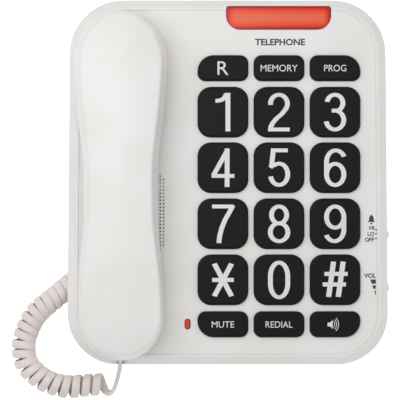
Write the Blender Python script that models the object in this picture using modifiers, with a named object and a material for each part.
"""A corded desk telephone with big keys: a wedge base, a handset in its cradle and a curly cord.

Metres, +Z up. +X is the phone's right, -Y is towards the user, and the desk is the plane z = 0.
The face slopes, so what sits on it is placed in the face frame: x right, y up the slope, z off the face,
with z = 0 on the parting plane between the two housings.
"""

import math

import bmesh
import bpy
from mathutils import Vector

# Base
TILT = math.radians(7)
WIDTH = 0.1846
TAPER = 0.0018
LENGTH = 0.210
FRONT_RADIUS = 0.031
BACK_RADIUS = 0.028
FRONT_HEIGHT = 0.012
FACE = 0.012
PLATE = 0.0025
WALL = 0.0025
RIM = 0.0046
SIDE_INSET = 0.0015
UNDERSIDE = 0.0025
GAP = 0.0003
FLOOR = UNDERSIDE + WALL
BOTTOM_EDGE = 0.0015

# Keys
KEY = 0.0287
KEY_RADIUS = 0.0075
FUNCTION_DEPTH = 0.0144
FUNCTION_RADIUS = 0.0043
OUTER_CORNER = 0.009
KEY_PROUD = 0.0026
KEY_EDGE = 0.0011
KEY_PLAY = 0.0004
KEY_TRAVEL = 0.0015
COLUMNS = (-0.0028, 0.0297, 0.0622)
DIGIT_ROWS = (0.0406, 0.0084, -0.0241, -0.0566)
FUNCTION_ROWS = (0.0661, -0.0824)
FLANGE = 0.0009
FLANGE_THICK = 0.0012
STEM = 0.010
STEM_LENGTH = 0.002
DIGIT_KEYS = (("1", "2", "3"), ("4", "5", "6"), ("7", "8", "9"), ("star", "0", "hash"))
FUNCTION_KEYS = (("r", "memory", "program"), ("mute", "redial", "speakerphone"))

# Board and membrane under the keys
BOARD_THICK = 0.0016
BOARD_Z = 0.0003
MEMBRANE_THICK = 0.0012
BOARD_LEFT, BOARD_RIGHT = -0.027, 0.075
BOARD_FRONT, BOARD_BACK = -0.092, 0.078
SWITCH_ARM_Y = (-0.071, -0.022)
LAMP_ARM = ((0.004, 0.055), 0.098)
ARM_LAP = 0.006
BOARD_POST = 0.002
BOARD_POSTS = ((-0.0215, -0.062), (-0.0215, 0.058))
PAD = (0.0050, 0.0035)
PAD_BORDER = 0.012

# Ringer lens and status window
LENS = (0.0604, 0.0133)
LENS_AT = (0.0295, 0.09535)
LENS_PROUD = 0.0004
LENS_RADIUS = 0.008
STATUS = (0.0029, 0.0057)
STATUS_AT = (-0.0233, -0.0823)
LAMP_TOP = 0.0088
RINGER_LAMPS = {"left": 0.012, "right": 0.047}

# Side sliders: centre, length and travel each way, along the face's y
SLIDERS = {"ringer": (-0.0303, 0.0072, 0.0027), "volume": (-0.0613, 0.0092, 0.0040)}
SLIDER_Z = 0.0040
SLIDER_HEIGHT = 0.0028
SLIDER_PROUD = 0.0016
SLIDER_REACH = 0.0040
SLIDER_PLAY = 0.0004
SWITCH_PLAY = 0.0008
CONTROL_DEPTH = 0.006
CONTROL_TOP = 0.0072

# Handset
HANDSET_X = -0.0610
EAR_Y, EAR_END = 0.068, 0.0313
MOUTH_Y, MOUTH_END = -0.077, 0.0255
HALF_WIDTHS = (
    (-0.077, 0.0262), (-0.042, 0.0251), (-0.008, 0.0223),
    (0.010, 0.0224), (0.039, 0.0250), (0.068, 0.0270),
)
ARCH_TOP = 0.045
ARCH_DROP = 0.005
GRIP_LOW = 0.0215
CUP_LOW = 0.015
SPLIT = 0.027
END_ROUND = 0.008
EAR_CUP = 0.0190
MOUTH_CUP = 0.0175
CUP_DRAFT = 0.0015
CUP_BOTTOM = 0.0046
WELL_PLAY = 0.0012
RECEIVER_PLAY = 0.0010
RECEIVER_TOP = 0.0135
MICROPHONE, MICROPHONE_TOP, MICROPHONE_OFFSET = 0.0048, 0.0105, 0.0080
HANDSET_WEIGHT = (0.013, -0.028, 0.020)
WELL_FLOOR = CUP_BOTTOM - GAP

# Hook plunger, in the ear well
PLUNGER = 0.003
PLUNGER_Y = 0.0555
PLUNGER_COLLAR = 0.0015
PLUNGER_LOW = -0.0060
HOOK_SWITCH = (0.0060, 0.0040)
HOOK_SWITCH_LOW = -0.0125
HOOK_POST_GAP = 0.0012

# Loudspeaker
SPEAKER_AT = (-0.0599, -0.0175)
SPEAKER_RADIUS = 0.0285
MAGNET_RADIUS = 0.012

# Screws and feet
SCREW_SHANK = 0.0014
SCREW_HEAD = 0.0029
BOSS = 0.004
BASE_SCREWS = ((0.081, -0.084), (0.081, 0.084), (-0.080, 0.028), (-0.032, -0.088))
HANDSET_SCREWS = (-0.035, 0.028)
FOOT = 0.007
FOOT_RECESS = 0.001
BASE_WEIGHT = ((-0.015, -0.045), (0.060, 0.030))
BASE_WEIGHT_THICK = 0.003
FEET = {
    "front_left": (-0.064, -0.086), "front_right": (0.066, -0.086),
    "back_left": (-0.070, 0.080), "back_right": (0.070, 0.080),
}

# Jacks and plugs
PLUG = (0.0077, 0.0066)
PLUG_PLAY = 0.0004
CORD_X = -0.0620
PLUG_END_Y = -0.0944
BASE_PLUG_X = -0.0815
BASE_PLUG_END_Y = -0.0405
LINE_X = 0.048
LINE_SOCKET = (0.0100, 0.0078)
LINE_Z = 0.0115
JACK_WALL = 0.0012
JACK_HALF = PLUG[1] / 2 + PLUG_PLAY + JACK_WALL
JACK_FLOOR = 0.0010
JACK_LENGTH = 0.0135
HANDSET_JACK_LENGTH = 0.0115
PLUG_SHOWS = 0.0028
PLUG_Z = CUP_BOTTOM + JACK_FLOOR + GAP + JACK_HALF
BASE_PLUG_AT = (BASE_PLUG_X, FLOOR + GAP + JACK_HALF)
BAY_PLAY = 0.0007
BAY = ((-0.100, -0.072, -0.005), (-0.068, -0.036, BASE_PLUG_AT[1] + PLUG[1] / 2 + BAY_PLAY))
SOCKET_DEPTH = 0.0095

# Cord
CORD_TUBE = 0.0015
CURL_RADIUS = 0.00665
CURL_Z = CURL_RADIUS + GAP
CURL_ROUTE = (
    (-0.0725, -0.1161), (-0.0830, -0.1167), (-0.0944, -0.1172), (-0.1051, -0.1141), (-0.1128, -0.1086),
    (-0.1172, -0.1027), (-0.1183, -0.0944), (-0.1176, -0.0890), (-0.1139, -0.0796), (-0.1091, -0.0730),
    (-0.1030, -0.0672), (-0.0926, -0.0584), (-0.0865, -0.0532),
)
HANDSET_TAIL = (
    (-0.0620, -0.0953, 0.0240), (-0.0620, -0.0984, 0.0236), (-0.0622, -0.1030, 0.0206),
    (-0.0628, -0.1077, 0.0142), (-0.0645, -0.1126, 0.0078), (-0.0672, -0.1178, 0.0039),
    (-0.0697, -0.1204, 0.0036), (-0.0721, -0.1200, 0.0040),
)
BASE_TAIL = (
    (-0.08626, -0.0530, 0.00695), (-0.0842, -0.0508, 0.0072), (-0.0824, -0.0472, 0.0086),
    (-0.0816, -0.0435, 0.0099), (-0.0815, -0.0408, 0.0102),
)

COLOURS = {
    "white_shell": ((0.84, 0.83, 0.82), 0.35, 0.0),
    "black_key": ((0.018, 0.016, 0.017), 0.45, 0.0),
    "red_lens": ((0.85, 0.07, 0.03), 0.15, 0.0),
    "silicone": ((0.45, 0.46, 0.47), 0.7, 0.0),
    "board": ((0.03, 0.18, 0.07), 0.5, 0.0),
    "steel": ((0.55, 0.55, 0.56), 0.35, 1.0),
    "paper": ((0.05, 0.05, 0.05), 0.9, 0.0),
    "rubber": ((0.03, 0.03, 0.03), 0.85, 0.0),
    "clear": ((0.75, 0.76, 0.78), 0.1, 0.0),
    "cord": ((0.72, 0.68, 0.65), 0.5, 0.0),
}


# Scene, collections and helpers

for old in list(bpy.data.objects):
    bpy.data.objects.remove(old)
parts = bpy.data.collections.new("desk_telephone")
cutters = bpy.data.collections.new("cutters")
for collection in (parts, cutters):
    bpy.context.scene.collection.children.link(collection)
cutters.hide_render = True


def material(name):
    """The named Principled material, made the first time it is asked for."""
    found = bpy.data.materials.get(name)
    if found:
        return found
    colour, roughness, metallic = COLOURS[name]
    found = bpy.data.materials.new(name)
    found.use_nodes = True
    shader = found.node_tree.nodes["Principled BSDF"]
    shader.inputs["Base Color"].default_value = (*colour, 1)
    shader.inputs["Roughness"].default_value = roughness
    shader.inputs["Metallic"].default_value = metallic
    return found


def empty(name, parent=None, location=(0, 0, 0), tilt=0.0):
    """An empty that others are parented to."""
    made = bpy.data.objects.new(name, None)
    made.location = location
    made.rotation_euler.x = tilt
    made.parent = parent
    parts.objects.link(made)
    return made


def finish(name, data, finish_name, parent, location=(0, 0, 0)):
    """Links an object, as a part with its finish, or as a cutter when it has none."""
    made = bpy.data.objects.new(name, data)
    made.location = location
    made.parent = parent
    if finish_name:
        data.materials.append(material(finish_name))
        parts.objects.link(made)
    else:
        made.hide_render = True
        made.display_type = "WIRE"
        cutters.objects.link(made)
    return made


def mesh_of(name, bm):
    """Turns a bmesh into a mesh with outward faces, smooth but for its sharp edges."""
    bmesh.ops.recalc_face_normals(bm, faces=bm.faces)
    data = bpy.data.meshes.new(name)
    bm.to_mesh(data)
    bm.free()
    data.shade_smooth()
    data.set_sharp_from_angle(angle=math.radians(35))
    return data


def extend(bm, face, scale, shift):
    """Extrudes one face, scaled about the origin and shifted, and gives the new end face."""
    made = bmesh.ops.extrude_face_region(bm, geom=[face])["geom"]
    if face.is_valid:
        bmesh.ops.delete(bm, geom=[face], context="FACES_ONLY")
    moved = [v for v in made if isinstance(v, bmesh.types.BMVert)]
    bmesh.ops.scale(bm, verts=moved, vec=scale)
    bmesh.ops.translate(bm, verts=moved, vec=shift)
    return next(item for item in made if isinstance(item, bmesh.types.BMFace))


def block(low, high, radii=None, segments=3, top=0.0, bottom=0.0, back_scale=1.0):
    """A bmesh box with rounded upright corners (front-left, front-right, back-right, back-left)."""
    bm = bmesh.new()
    bmesh.ops.create_cube(bm, size=1)
    low, high = Vector(low), Vector(high)
    middle = (low + high) / 2
    for vertex in bm.verts:
        vertex.co = middle + vertex.co * (high - low)
        if vertex.co.y > middle.y:
            vertex.co.x = middle.x + (vertex.co.x - middle.x) * back_scale
    if radii:
        for (sx, sy), radius in zip(((-1, -1), (1, -1), (1, 1), (-1, 1)), radii):
            corner = [
                edge for edge in bm.edges
                if all((v.co.x - middle.x) * sx > 0 and (v.co.y - middle.y) * sy > 0 for v in edge.verts)
                and abs(edge.verts[0].co.z - edge.verts[1].co.z) > (high - low).z / 2
                and (edge.verts[0].co.xy - edge.verts[1].co.xy).length < 1e-6
                and abs(edge.verts[0].co.y - (high.y if sy > 0 else low.y)) < 1e-6
            ]
            bmesh.ops.bevel(
                bm, geom=corner[:1], offset=radius, offset_type="OFFSET",
                segments=segments, profile=0.5, affect="EDGES", material=-1,
            )
    for z, width in ((high.z, top), (low.z, bottom)):
        if width:
            rim = [e for e in bm.edges if all(abs(v.co.z - z) < 1e-7 for v in e.verts)]
            bmesh.ops.bevel(
                bm, geom=rim, offset=width, offset_type="OFFSET",
                segments=1, profile=0.5, affect="EDGES", material=-1,
            )
    return bm


def box(name, low, high, finish_name=None, parent=None, location=(0, 0, 0), **shape):
    """A box part or cutter, given by its lowest and highest corners about its own origin."""
    return finish(name, mesh_of(name, block(low, high, **shape)), finish_name, parent, location)


def cylinder(name, radius, low, high, finish_name=None, parent=None, location=(0, 0, 0), top=None, sides=24):
    """An upright cylinder, or a cone when the top has its own radius."""
    bm = bmesh.new()
    bmesh.ops.create_cone(
        bm, cap_ends=True, segments=sides, radius1=radius,
        radius2=radius if top is None else top, depth=high - low,
    )
    bmesh.ops.translate(bm, verts=bm.verts, vec=(0, 0, (low + high) / 2))
    return finish(name, mesh_of(name, bm), finish_name, parent, location)


def turned(name, profile, finish_name, parent, location=(0, 0, 0), steps=20):
    """A solid turned about its own z axis from a profile that starts and ends on that axis."""
    bm = bmesh.new()
    points = [bm.verts.new((x, 0, z)) for x, z in profile]
    for first, second in zip(points, points[1:]):
        bm.edges.new((first, second))
    data = bpy.data.meshes.new(name)
    bm.to_mesh(data)
    bm.free()
    made = finish(name, data, finish_name, parent, location)
    screw = made.modifiers.new("turn", "SCREW")
    screw.steps = screw.render_steps = steps
    screw.use_merge_vertices = True
    screw.merge_threshold = 0.00001
    return made


def boolean(target, other, operation):
    modifier = target.modifiers.new(other.name, "BOOLEAN")
    modifier.operation = operation
    modifier.object = other


def cut(target, *others):
    for other in others:
        boolean(target, other, "DIFFERENCE")


def join(target, *others):
    for other in others:
        boolean(target, other, "UNION")


FACE_ORIGIN_Z = FRONT_HEIGHT + LENGTH / 2 * math.sin(TILT)
root = empty("phone", location=(-SLIDER_PROUD / 2, 0, 0))
face = empty("face", root, (0, 0, FACE_ORIGIN_Z), TILT)
handset = empty("handset", face, (HANDSET_X, 0, 0))

BACK_SCALE = (WIDTH - TAPER) / WIDTH
HALF_WIDTH = WIDTH / 2
HALF_LENGTH = LENGTH / 2
BASE_RADII = (FRONT_RADIUS, FRONT_RADIUS, BACK_RADIUS, BACK_RADIUS)


def outline(inset, low, high, half_length=HALF_LENGTH, **shape):
    """The base's plan outline as a block, drawn in on every side."""
    return block(
        (-HALF_WIDTH + inset, -half_length + inset, low),
        (HALF_WIDTH - inset, half_length - inset, high),
        radii=[radius - inset for radius in BASE_RADII], segments=6, back_scale=BACK_SCALE, **shape,
    )


# Handset shape: its half width, top and underside at each distance along it

def smooth_step(t):
    t = min(max(t, 0), 1)
    return t * t * (3 - 2 * t)


def between(stations, at):
    """A smooth value through the stations, level at each one's mean slope."""
    last = len(stations) - 1
    i = max(0, min(last - 1, sum(at >= station[0] for station in stations) - 1))
    (y0, v0), (y1, v1) = stations[i], stations[i + 1]
    before, after = stations[max(i - 1, 0)], stations[min(i + 2, last)]
    slope0 = (v1 - before[1]) / (y1 - before[0])
    slope1 = (after[1] - v0) / (after[0] - y0)
    t, span = (at - y0) / (y1 - y0), y1 - y0
    return (
        (2 * t**3 - 3 * t**2 + 1) * v0 + (t**3 - 2 * t**2 + t) * span * slope0
        + (3 * t**2 - 2 * t**3) * v1 + (t**3 - t**2) * span * slope1
    )


HANDSET_MIDDLE = (EAR_Y + MOUTH_Y) / 2
HANDSET_HALF = (EAR_Y + EAR_END - MOUTH_Y + MOUTH_END) / 2


def handset_stations(inset):
    """(y, half width, low, high) along the handset, from the mouth end to the ear end."""
    angles = [math.radians(a) for a in (80, 66, 48, 25, 0)]
    ends = [(MOUTH_Y, -1, MOUTH_END - inset, a) for a in angles]
    middles = [(y, 0, 0, 0) for y in (-0.058, -0.040, -0.020, 0, 0.020, 0.036, 0.052)]
    ends_back = [(EAR_Y, 1, EAR_END - inset, a) for a in reversed(angles)]
    for centre, side, reach, angle in ends + middles + ends_back:
        y = centre + side * reach * math.sin(angle)
        width = between(HALF_WIDTHS, min(max(y, MOUTH_Y), EAR_Y)) - inset
        rounding = END_ROUND * (1 - math.cos(angle))
        drop = ARCH_DROP * ((y - HANDSET_MIDDLE) / HANDSET_HALF) ** 2
        away = abs(y - HANDSET_MIDDLE)
        low = GRIP_LOW + (CUP_LOW - GRIP_LOW) * smooth_step((away - 0.034) / 0.018)
        yield y, width * math.cos(angle), low + inset + rounding / 2, ARCH_TOP - inset - drop - rounding


def handset_loft(name, inset, finish_name=None):
    """The handset's outer or inner surface, as a loft of rounded sections capped at both ends."""
    bm = bmesh.new()
    rings = []
    for y, width, low, high in handset_stations(inset):
        ring = []
        for step in range(16):
            angle = 2 * math.pi * (step + 0.5) / 16
            c, s = math.cos(angle), math.sin(angle)
            x = width * math.copysign(abs(c) ** 0.62, c)
            z = (low + high) / 2 + (high - low) / 2 * math.copysign(abs(s) ** 0.62, s)
            ring.append(bm.verts.new((x, y, z)))
        rings.append(ring)
    for first, second in zip(rings, rings[1:]):
        for i in range(16):
            bm.faces.new((first[i - 1], first[i], second[i], second[i - 1]))
    bm.faces.new(rings[0])
    bm.faces.new(rings[-1])
    return finish(name, mesh_of(name, bm), finish_name, handset)


def above(name, z):
    """A cutter for everything above a height in the handset's frame."""
    return box(name, (-0.06, -0.15, z), (0.06, 0.15, z + 0.08), parent=handset)


# Top housing

top = finish("top_housing", mesh_of("top_housing", outline(0, 0, FACE, top=RIM)),
             "white_shell", face)
envelope = finish("housing_envelope", mesh_of("housing_envelope", outline(0, 0, FACE, top=RIM)),
                  None, face, (0, 0, LENS_PROUD))
hollow = finish("top_hollow", mesh_of("top_hollow", outline(WALL, -0.005, FACE - PLATE)), None, face)
cut(top, hollow)

WELLS = {"ear": (EAR_Y, EAR_CUP + WELL_PLAY), "mouth": (MOUTH_Y, MOUTH_CUP + WELL_PLAY)}
for name, (y, radius) in WELLS.items():
    join(top, cylinder(f"{name}_well_wall", radius + WALL, WELL_FLOOR - WALL, FACE - PLATE / 2, parent=face,
                       location=(HANDSET_X, y, 0), sides=32))
for name, (y, radius) in WELLS.items():
    cut(top, cylinder(f"{name}_well", radius, WELL_FLOOR, FACE + 0.01, parent=face,
                      location=(HANDSET_X, y, 0), sides=32))
cut(top, box("cord_notch", (-0.0021, -HALF_LENGTH - 0.01, WELL_FLOOR), (0.0021, MOUTH_Y - 0.01, FACE + 0.01),
             parent=face, location=(CORD_X, 0, 0)))
cut(top, cylinder("plunger_hole", PLUNGER + 0.0004, -0.01, FACE, parent=face,
                  location=(HANDSET_X, PLUNGER_Y, 0), sides=16))

for i, (x, y) in enumerate(BASE_SCREWS):
    boss = cylinder(f"top_boss_{i}", BOSS, FACE_ORIGIN_Z - 0.03, FACE_ORIGIN_Z + y * math.tan(TILT) + FACE - 0.001,
                    parent=root, location=(x, y, 0), sides=12)
    trim = box(f"top_boss_trim_{i}", (-0.01, -0.01, -0.05), (0.01, 0.01, 0.0),
               parent=face, location=(x, y, 0))
    cut(boss, trim)
    join(top, boss)
for x, y in BOARD_POSTS:
    join(top, cylinder(f"board_post_{y:.3f}", BOARD_POST, BOARD_Z + BOARD_THICK + GAP, FACE - PLATE / 2,
                       parent=face, location=(x, y, 0), sides=10))


# Keys, on the face frame, each with its own origin on its press axis

FLANGE_TOP = FACE - PLATE - GAP


def key_part(name, size, radii, at):
    """A key: cap, retaining flange under the face plate and a stem; the housing gets its hole."""
    w, d = size[0] / 2, size[1] / 2
    bm = block((-w, -d, FLANGE_TOP - FACE), (w, d, KEY_PROUD), radii=radii, segments=3, top=KEY_EDGE)
    steps = (
        ((w + FLANGE) / w, (d + FLANGE) / d, 0), (1, 1, -FLANGE_THICK),
        (STEM / 2 / (w + FLANGE), STEM / 2 / (d + FLANGE), 0), (1, 1, -STEM_LENGTH),
    )
    lowest = min(bm.faces, key=lambda f: f.calc_center_median().z)
    for sx, sy, drop in steps:
        lowest = extend(bm, lowest, (sx, sy, 1), (0, 0, drop))
    finish(name, mesh_of(name, bm), "black_key", face, (*at, FACE))
    p = KEY_PLAY
    hole = box(f"{name}_hole", (-w - p, -d - p, -0.006), (w + p, d + p, 0.006),
               radii=[r + p for r in radii], parent=face, location=(*at, FACE))
    cut(top, hole)


for row, y in zip(DIGIT_KEYS, DIGIT_ROWS):
    for label, x in zip(row, COLUMNS):
        key_part(f"key_{label}", (KEY, KEY), [KEY_RADIUS] * 4, (x, y))
for level, (row, y) in enumerate(zip(FUNCTION_KEYS, FUNCTION_ROWS)):
    for column, (label, x) in enumerate(zip(row, COLUMNS)):
        radii = [FUNCTION_RADIUS] * 4
        big = {(0, 0): 3, (0, 2): 2, (1, 0): 0, (1, 2): 1}.get((level, column))
        if big is not None:
            radii[big] = OUTER_CORNER
        key_part(f"key_{label}", (KEY, FUNCTION_DEPTH), radii, (x, y))

STEM_BOTTOM = FLANGE_TOP - FLANGE_THICK - STEM_LENGTH
PAD_TOP = STEM_BOTTOM - KEY_TRAVEL - GAP
MEMBRANE_Z = BOARD_Z + BOARD_THICK + GAP
membrane = box("keypad_membrane", (COLUMNS[0] - PAD_BORDER, FUNCTION_ROWS[1] - PAD_BORDER / 2, MEMBRANE_Z),
               (COLUMNS[2] + PAD_BORDER, FUNCTION_ROWS[0] + PAD_BORDER / 2, MEMBRANE_Z + MEMBRANE_THICK),
               "silicone", face)
for y in DIGIT_ROWS + FUNCTION_ROWS:
    for x in COLUMNS:
        join(membrane, cylinder(f"pad_{x:.3f}_{y:.3f}", PAD[0], MEMBRANE_Z + MEMBRANE_THICK / 2, PAD_TOP,
                                parent=face, location=(x, y, 0), top=PAD[1], sides=8))

board = box("main_board", (BOARD_LEFT, BOARD_FRONT, BOARD_Z), (BOARD_RIGHT, BOARD_BACK, BOARD_Z + BOARD_THICK),
            "board", face)
SWITCH_OUT = HALF_WIDTH - SLIDER_REACH - SWITCH_PLAY
join(board,
     box("board_switch_arm", (BOARD_RIGHT - ARM_LAP, SWITCH_ARM_Y[0], BOARD_Z),
         (SWITCH_OUT - SWITCH_PLAY, SWITCH_ARM_Y[1], BOARD_Z + BOARD_THICK), parent=face),
     box("board_lamp_arm", (LAMP_ARM[0][0], BOARD_BACK - ARM_LAP, BOARD_Z),
         (LAMP_ARM[0][1], LAMP_ARM[1], BOARD_Z + BOARD_THICK), parent=face))


# Ringer lens, status window and their lamps

def lens_block(play, low, high):
    w, d = LENS[0] / 2 + play, LENS[1] / 2 + play
    return block((-w, -d, low), (w, d, high), segments=4,
                 radii=[LENS_RADIUS + play, LENS_RADIUS + play, 0.0015, 0.0015])


lens = finish("ringer_lens", mesh_of("ringer_lens", lens_block(0, FACE - 0.002, FACE + 0.004)), "red_lens", face,
              (*LENS_AT, 0))
boolean(lens, envelope, "INTERSECT")
cut(top, finish("lens_hole", mesh_of("lens_hole", lens_block(GAP, FACE - 0.006, FACE + 0.006)), None, face,
                (*LENS_AT, 0)))

STATUS_HALF = Vector((STATUS[0] / 2, STATUS[1] / 2))
box("status_window", (*-STATUS_HALF, FACE - 0.002), (*STATUS_HALF, FACE + 0.0003), "red_lens", face,
    (*STATUS_AT, 0), radii=[STATUS[0] * 0.48] * 4)
STATUS_HOLE = STATUS_HALF + Vector((GAP, GAP))
cut(top, box("status_hole", (*-STATUS_HOLE, FACE - 0.006), (*STATUS_HOLE, FACE + 0.006), parent=face,
             location=(*STATUS_AT, 0), radii=[STATUS[0] * 0.48 + GAP] * 4))


def lamp(name, at, radius, height):
    base = BOARD_Z + BOARD_THICK + GAP
    turned(name, ((0, height), (radius * 0.6, height - radius * 0.25), (radius, height - radius),
                  (radius, base), (0, base)), "clear", face, (*at, 0), steps=12)


for side, x in RINGER_LAMPS.items():
    lamp(f"ringer_lamp_{side}", (x, LENS_AT[1] - 0.002), 0.0025, LAMP_TOP)
lamp("status_lamp", STATUS_AT, 0.0015, LAMP_TOP)


# Side sliders and the controls behind them

for name, (y, length, travel) in SLIDERS.items():
    half, tall = length / 2, SLIDER_HEIGHT / 2
    bm = block((-SLIDER_REACH, -half, -tall), (0, half, tall))
    extend(bm, max(bm.faces, key=lambda f: f.calc_center_median().x), (1, 0.25, 0.8), (SLIDER_PROUD, 0, 0))
    finish(f"{name}_knob", mesh_of(f"{name}_knob", bm), "white_shell", face, (HALF_WIDTH, y, SLIDER_Z))
    cut(top, box(f"{name}_slot", (-0.006, -half - travel - SLIDER_PLAY, -tall - SLIDER_PLAY),
                 (0.005, half + travel + SLIDER_PLAY, tall + SLIDER_PLAY), parent=face,
                 location=(HALF_WIDTH, y, SLIDER_Z)))
    box(f"{name}_control", (SWITCH_OUT - CONTROL_DEPTH, y - half - travel, BOARD_Z + BOARD_THICK + GAP),
        (SWITCH_OUT, y + half + travel, CONTROL_TOP), "steel", face)


# Loudspeaker, facing up under the face plate

SPEAKER_TOP = FACE - PLATE - GAP
turned("loudspeaker_frame", (
    (0, 0.0020), (0.008, 0.0020), (SPEAKER_RADIUS - 0.004, SPEAKER_TOP - 0.001),
    (SPEAKER_RADIUS - 0.004, SPEAKER_TOP), (SPEAKER_RADIUS, SPEAKER_TOP),
    (SPEAKER_RADIUS, SPEAKER_TOP - 0.002), (SPEAKER_RADIUS - 0.0025, SPEAKER_TOP - 0.002),
    (MAGNET_RADIUS, 0.0002), (MAGNET_RADIUS, -0.0070), (0, -0.0070),
), "steel", face, (*SPEAKER_AT, 0), steps=28)
turned("loudspeaker_cone", (
    (0, 0.0052), (0.0040, 0.0048), (0.0075, 0.0034), (SPEAKER_RADIUS - 0.0047, SPEAKER_TOP - 0.0002),
    (SPEAKER_RADIUS - 0.0046, SPEAKER_TOP - 0.0006), (0.0080, 0.0025), (0, 0.0024),
), "paper", face, (*SPEAKER_AT, 0), steps=28)


# Hook plunger and switch, under the ear well

turned("hook_plunger", (
    (0, WELL_FLOOR), (PLUNGER, WELL_FLOOR), (PLUNGER, -0.0030), (PLUNGER + PLUNGER_COLLAR, -0.0030),
    (PLUNGER + PLUNGER_COLLAR, -0.0045), (PLUNGER, -0.0045), (PLUNGER, PLUNGER_LOW), (0, PLUNGER_LOW),
), "white_shell", face, (HANDSET_X, PLUNGER_Y, 0), steps=12)
box("hook_switch", (-HOOK_SWITCH[0], -HOOK_SWITCH[1], HOOK_SWITCH_LOW),
    (*HOOK_SWITCH, PLUNGER_LOW - GAP), "steel", face, (HANDSET_X, PLUNGER_Y, 0))


# Bottom housing: upright walls, cut off along the sloping parting plane

DECK_HALF = HALF_LENGTH * math.cos(TILT)
bottom = finish("bottom_housing", mesh_of("bottom_housing", outline(
    SIDE_INSET, UNDERSIDE, 0.06, half_length=DECK_HALF, bottom=BOTTOM_EDGE)), "white_shell", root)
cut(bottom, finish("bottom_hollow", mesh_of("bottom_hollow", outline(
    SIDE_INSET + WALL, FLOOR, 0.08, half_length=DECK_HALF)), None, root))
BAY_LOW, BAY_HIGH = Vector(BAY[0]), Vector(BAY[1])
join(bottom, box("bay_block", (-HALF_WIDTH + SIDE_INSET + WALL / 2, BAY_LOW.y - WALL, UNDERSIDE + WALL / 2),
                 (BAY_HIGH.x + WALL, BAY_HIGH.y + WALL, 0.03), parent=root))
for i, (x, y) in enumerate(BASE_SCREWS):
    join(bottom, cylinder(f"bottom_boss_{i}", BOSS, UNDERSIDE + WALL / 2, 0.07, parent=root, location=(x, y, 0),
                          sides=12))
hook_y = PLUNGER_Y * math.cos(TILT) - HOOK_SWITCH_LOW * math.sin(TILT)
hook_z = FACE_ORIGIN_Z + PLUNGER_Y * math.sin(TILT) + HOOK_SWITCH_LOW * math.cos(TILT)
join(bottom, cylinder("hook_post", 0.0035, UNDERSIDE + WALL / 2, hook_z - HOOK_POST_GAP, parent=root,
                      location=(HANDSET_X, hook_y, 0), sides=12))
cut(bottom, box("parting", (-0.15, -0.15, -GAP), (0.15, 0.15, 0.1), parent=face))
cut(bottom, box("cord_bay", BAY_LOW, BAY_HIGH, parent=root))


# Feet, weight and screws

for name, (x, y) in FEET.items():
    cylinder(f"foot_{name}", FOOT, 0, UNDERSIDE + FOOT_RECESS - GAP, "rubber", root, (x, y, 0), sides=20)
    cut(bottom, cylinder(f"foot_recess_{name}", FOOT + 0.0004, 0, UNDERSIDE + FOOT_RECESS, parent=root,
                         location=(x, y, 0), sides=20))
box("base_weight", (*BASE_WEIGHT[0], FLOOR + GAP), (*BASE_WEIGHT[1], FLOOR + GAP + BASE_WEIGHT_THICK), "steel",
    root)


def screw(name, parent, location, head_low, head_high, tip):
    turned(name, ((0, tip), (SCREW_SHANK * 0.4, tip), (SCREW_SHANK, tip - 0.0015), (SCREW_SHANK, head_high),
                  (SCREW_HEAD, head_high), (SCREW_HEAD, head_low), (0, head_low)), "steel", parent, location,
           steps=12)


for i, (x, y) in enumerate(BASE_SCREWS, 1):
    parting_z = FACE_ORIGIN_Z + y * math.tan(TILT)
    head_high = UNDERSIDE + 0.004
    tip = parting_z + 0.0055
    screw(f"base_screw_{i}", root, (x, y, 0), UNDERSIDE + 0.001, head_high, tip)
    shaft = cylinder(f"screw_hole_{i}", SCREW_SHANK + GAP, 0, tip + GAP + 0.0005, parent=root,
                     location=(x, y, 0), sides=12)
    cut(bottom, shaft, cylinder(f"screw_head_hole_{i}", SCREW_HEAD + GAP, 0, head_high + GAP, parent=root,
                                location=(x, y, 0), sides=12))
    cut(top, shaft)


# Jacks and plugs

def socket_box(name, centre, low_y, high_y, size, open_towards, parent):
    """A jack body round a blind square socket; a size up, its own box is the window for its wall."""
    w, h = size[0] / 2 + PLUG_PLAY, size[1] / 2 + PLUG_PLAY
    x, z = centre
    body = box(name, (x - w - JACK_WALL, low_y, z - h - JACK_WALL), (x + w + JACK_WALL, high_y, z + h + JACK_WALL),
               "clear", parent)
    mouth = low_y if open_towards < 0 else high_y
    inner = mouth - open_towards * SOCKET_DEPTH
    near, far = sorted((mouth + open_towards * 0.004, inner))
    cut(body, box(f"{name}_socket", (x - w, near, z - h), (x + w, far, z + h), parent=parent))
    return mouth, w, h


bay_back = BAY_HIGH.y + WALL
jack_front = bay_back + GAP
_, w, h = socket_box("handset_cord_jack", BASE_PLUG_AT, jack_front, jack_front + JACK_LENGTH, PLUG, -1, root)
cut(bottom, box("bay_window", (BASE_PLUG_AT[0] - w, BAY_HIGH.y - 0.002, BASE_PLUG_AT[1] - h),
                (BASE_PLUG_AT[0] + w, bay_back + 0.002, BASE_PLUG_AT[1] + h), parent=root))
px, pz = PLUG[0] / 2, PLUG[1] / 2
box("cord_plug_base", (BASE_PLUG_AT[0] - px, BASE_PLUG_END_Y, BASE_PLUG_AT[1] - pz),
    (BASE_PLUG_AT[0] + px, jack_front + SOCKET_DEPTH - GAP, BASE_PLUG_AT[1] + pz), "clear", root)

back_wall = DECK_HALF - SIDE_INSET
line_back = back_wall - WALL - GAP
_, w, h = socket_box("line_jack", (LINE_X, LINE_Z), line_back - JACK_LENGTH, line_back, LINE_SOCKET, 1, root)
cut(bottom, box("line_window", (LINE_X - w, line_back - 0.002, LINE_Z - h), (LINE_X + w, back_wall + 0.002,
                                                                         LINE_Z + h), parent=root))


# Handset shells

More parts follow.
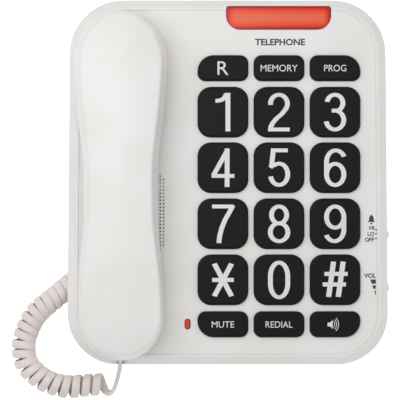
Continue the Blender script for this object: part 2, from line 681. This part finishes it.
back_shell = handset_loft("handset_back", 0, "white_shell")
front_shell = handset_loft("handset_front", 0, "white_shell")
inside = handset_loft("handset_inside", WALL)
cut(back_shell, inside, box("below_split", (-0.06, -0.15, -0.05), (0.06, 0.15, SPLIT + GAP / 2), parent=handset))
cut(front_shell, inside, above("above_split", SPLIT - GAP / 2))

CUPS = {"ear": (EAR_Y, EAR_CUP), "mouth": (MOUTH_Y, MOUTH_CUP)}
for name, (y, radius) in CUPS.items():
    join(front_shell, cylinder(f"{name}_cup", radius - CUP_DRAFT, CUP_BOTTOM, CUP_LOW + WALL / 2, parent=handset,
                               location=(0, y, 0), top=radius, sides=28))
for name, (y, radius) in CUPS.items():
    cut(front_shell, cylinder(f"{name}_cup_inside", radius - CUP_DRAFT - WALL, CUP_BOTTOM + WALL,
                              CUP_LOW + WALL + 0.002, parent=handset, location=(0, y, 0),
                              top=radius - WALL, sides=28))

plug_x = CORD_X - HANDSET_X
for y in HANDSET_SCREWS:
    head_low = GRIP_LOW + 0.0008
    join(front_shell, cylinder(f"front_boss_{y:.3f}", BOSS, GRIP_LOW + 0.0005, SPLIT - 0.0012, parent=handset,
                               location=(0, y, 0), sides=12))
    cut(front_shell,
        cylinder(f"front_counterbore_{y:.3f}", SCREW_HEAD + GAP, GRIP_LOW - 0.005, head_low + 0.0018 + GAP,
                 parent=handset, location=(0, y, 0), sides=12),
        cylinder(f"front_screw_hole_{y:.3f}", SCREW_SHANK + GAP, GRIP_LOW - 0.005, SPLIT, parent=handset,
                 location=(0, y, 0), sides=12))
    join(back_shell, cylinder(f"back_boss_{y:.3f}", BOSS, SPLIT + GAP, ARCH_TOP - WALL / 2 - 0.0005,
                              parent=handset, location=(0, y, 0), sides=12))
    cut(back_shell, cylinder(f"back_screw_hole_{y:.3f}", SCREW_SHANK + GAP, SPLIT - 0.01, SPLIT + 0.010,
                             parent=handset, location=(0, y, 0), sides=12))
for i, y in enumerate(HANDSET_SCREWS, 1):
    screw(f"handset_screw_{i}", handset, (0, y, 0), GRIP_LOW + 0.0008, GRIP_LOW + 0.0026, SPLIT + 0.009)

CAPSULE_LOW = CUP_BOTTOM + WALL + GAP
cylinder("receiver", EAR_CUP - CUP_DRAFT - WALL - RECEIVER_PLAY, CAPSULE_LOW, RECEIVER_TOP, "steel", handset,
         (0, EAR_Y, 0))
cylinder("microphone", MICROPHONE, CAPSULE_LOW, MICROPHONE_TOP, "steel", handset,
         (0, MOUTH_Y + MICROPHONE_OFFSET, 0), sides=16)
box("handset_weight", (-HANDSET_WEIGHT[0], HANDSET_WEIGHT[1], GRIP_LOW + WALL + 0.0018),
    (HANDSET_WEIGHT[0], HANDSET_WEIGHT[2], GRIP_LOW + WALL + 0.007), "steel", handset)

JACK_FRONT = PLUG_END_Y + PLUG_SHOWS
_, w, h = socket_box("handset_jack", (plug_x, PLUG_Z), JACK_FRONT, JACK_FRONT + HANDSET_JACK_LENGTH,
                     PLUG, -1, handset)
cut(front_shell, box("plug_window", (plug_x - w - JACK_WALL - GAP, PLUG_END_Y - 0.006,
                                      PLUG_Z - h - JACK_WALL - GAP),
                     (plug_x + w + JACK_WALL + GAP, JACK_FRONT + HANDSET_JACK_LENGTH + GAP,
                      PLUG_Z + h + JACK_WALL + GAP),
                     parent=handset))
box("cord_plug_handset", (plug_x - px, PLUG_END_Y, PLUG_Z - pz),
    (plug_x + px, JACK_FRONT + SOCKET_DEPTH - GAP, PLUG_Z + pz), "clear", handset)


# Cord, in the desk's frame

def smooth_route(points, spacing):
    """Points at an even spacing on a smooth curve through the route's own points."""
    points = [Vector(p) for p in points]
    ends = [2 * points[0] - points[1]] + points + [2 * points[-1] - points[-2]]
    dense = []
    for a, b, c, d in zip(ends, ends[1:], ends[2:], ends[3:]):
        for step in range(20):
            t = step / 20
            dense.append(0.5 * (2 * b + (c - a) * t + (2 * a - 5 * b + 4 * c - d) * t**2
                                + (3 * b - a - 3 * c + d) * t**3))
    dense.append(points[-1])
    lengths = [0.0]
    for first, second in zip(dense, dense[1:]):
        lengths.append(lengths[-1] + (second - first).length)
    count = max(2, round(lengths[-1] / spacing) + 1)
    even, at = [], 0
    for k in range(count):
        want = lengths[-1] * k / (count - 1)
        while at < len(dense) - 2 and lengths[at + 1] < want:
            at += 1
        share = (want - lengths[at]) / max(lengths[at + 1] - lengths[at], 1e-9)
        even.append(dense[at].lerp(dense[at + 1], share))
    return even


def tube(name, route, radius, spacing, resolution):
    """A round tube along a smooth route, with closed ends."""
    data = bpy.data.curves.new(name, "CURVE")
    data.dimensions = "3D"
    data.bevel_depth = radius
    data.bevel_resolution = resolution
    data.use_fill_caps = True
    even = smooth_route(route, spacing)
    spline = data.splines.new("POLY")
    spline.points.add(len(even) - 1)
    for point, place in zip(spline.points, even):
        point.co = (*place, 1)
    return finish(name, data, "cord", root)


tube("cord_curl", [(x, y, CURL_Z) for x, y in CURL_ROUTE], CURL_RADIUS, 0.005, 4)
tube("cord_tail_handset", HANDSET_TAIL, CORD_TUBE, 0.0035, 2)
tube("cord_tail_base", BASE_TAIL, CORD_TUBE, 0.003, 2)
